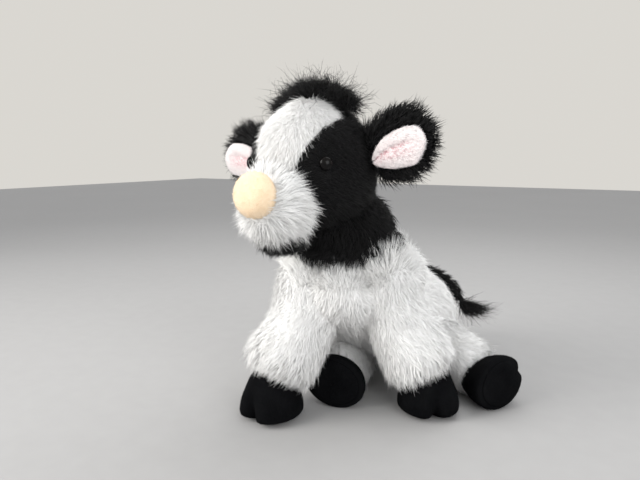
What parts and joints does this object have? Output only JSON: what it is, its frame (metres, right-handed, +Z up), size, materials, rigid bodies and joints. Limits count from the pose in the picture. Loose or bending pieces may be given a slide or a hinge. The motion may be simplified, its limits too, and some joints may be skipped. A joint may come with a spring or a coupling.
{
  "type": "plush cow",
  "caption": "Plush calf that sits with its forelegs upright: stuffed body, sewn neck, head, ears, legs and tail, a velour nose and cloven velvet hooves.",
  "frame": {"origin": "middle of the flat patch under the rump that the calf sits on", "axes": "+Z up, the calf faces -Y and its left side is +X"},
  "size_m": [0.242, 0.2682, 0.2571],
  "materials": {
    "white_pile": "long white pile",
    "black_pile": "black pile",
    "black_velvet": "black velvet",
    "peach_velour": "peach velour",
    "pink_fleece": "white fleece, pink inside",
    "eye_plastic": "polished black",
    "washer_plastic": "natural",
    "pouch_cloth": "plain woven"
  },
  "bodies": {
    "torso": {"torso": "white_pile", "pellet_pouch": "pouch_cloth"},
    "neck": {"neck": "black_pile"},
    "head": {"head": "black_pile", "blaze": "white_pile", "muzzle": "white_pile", "nose": "peach_velour", "chin": "black_pile", "eye_left": "eye_plastic", "eye_right": "eye_plastic", "washer_left": "washer_plastic", "washer_right": "washer_plastic", "hair_tuft": "black_pile"},
    "ear_left": {"ear_left": "black_pile", "ear_lining_left": "pink_fleece"},
    "ear_right": {"ear_right": "black_pile", "ear_lining_right": "pink_fleece"},
    "foreleg_left": {"foreleg_left": "white_pile", "fore_hoof_left": "black_velvet", "fore_sole_left": "black_velvet"},
    "foreleg_right": {"foreleg_right": "white_pile", "fore_hoof_right": "black_velvet", "fore_sole_right": "black_velvet"},
    "hindleg_left": {"hindleg_left": "white_pile", "hind_hoof_left": "black_velvet", "hind_sole_left": "black_velvet"},
    "hindleg_right": {"hindleg_right": "white_pile", "hind_hoof_right": "black_velvet", "hind_sole_right": "black_velvet"},
    "tail": {"tail": "black_pile", "tail_tuft": "black_pile"}
  },
  "joints": [
    {"name": "neck_turn", "type": "hinge", "parent": "torso", "child": "neck", "pos_m": [-0.005, -0.113, 0.127], "axis": [0, -0.1564, 0.9877], "range_deg": [-20, 20], "stiffness_Nm_per_rad": 0.3},
    {"name": "head_nod", "type": "hinge", "parent": "neck", "child": "head", "pos_m": [-0.005, -0.11456, 0.13688], "axis": [-0.9962, 0.0872, 0], "range_deg": [-5, 15], "stiffness_Nm_per_rad": 0.9},
    {"name": "ear_left_flop", "type": "hinge", "parent": "head", "child": "ear_left", "pos_m": [0.02199, -0.13248, 0.19488], "axis": [0, 0, 1], "range_deg": [-15, 15], "stiffness_Nm_per_rad": 0.05},
    {"name": "ear_right_flop", "type": "hinge", "parent": "head", "child": "ear_right", "pos_m": [-0.06695, -0.1247, 0.19488], "axis": [0, 0, 1], "range_deg": [-15, 15], "stiffness_Nm_per_rad": 0.05},
    {"name": "foreleg_left_swing", "type": "hinge", "parent": "torso", "child": "foreleg_left", "pos_m": [0.031, -0.119, 0.105], "axis": [-0.9222, 0.071, -0.3802], "range_deg": [0, 30], "stiffness_Nm_per_rad": 0.6},
    {"name": "foreleg_right_swing", "type": "hinge", "parent": "torso", "child": "foreleg_right", "pos_m": [-0.031, -0.119, 0.105], "axis": [-0.9963, 0.0504, 0.07], "range_deg": [0, 30], "stiffness_Nm_per_rad": 0.6},
    {"name": "hindleg_left_swing", "type": "hinge", "parent": "torso", "child": "hindleg_left", "pos_m": [0.03, -0.022, 0.034], "axis": [0, 0, 1], "range_deg": [0, 15], "stiffness_Nm_per_rad": 0.3},
    {"name": "hindleg_right_swing", "type": "hinge", "parent": "torso", "child": "hindleg_right", "pos_m": [-0.03, -0.022, 0.034], "axis": [0, 0, 1], "range_deg": [0, 6], "stiffness_Nm_per_rad": 0.3},
    {"name": "tail_lift", "type": "hinge", "parent": "torso", "child": "tail", "pos_m": [0, 0.034, 0.08694], "axis": [0.0711, -0.9947, -0.0749], "range_deg": [0, 30], "stiffness_Nm_per_rad": 0.03}
  ]
}
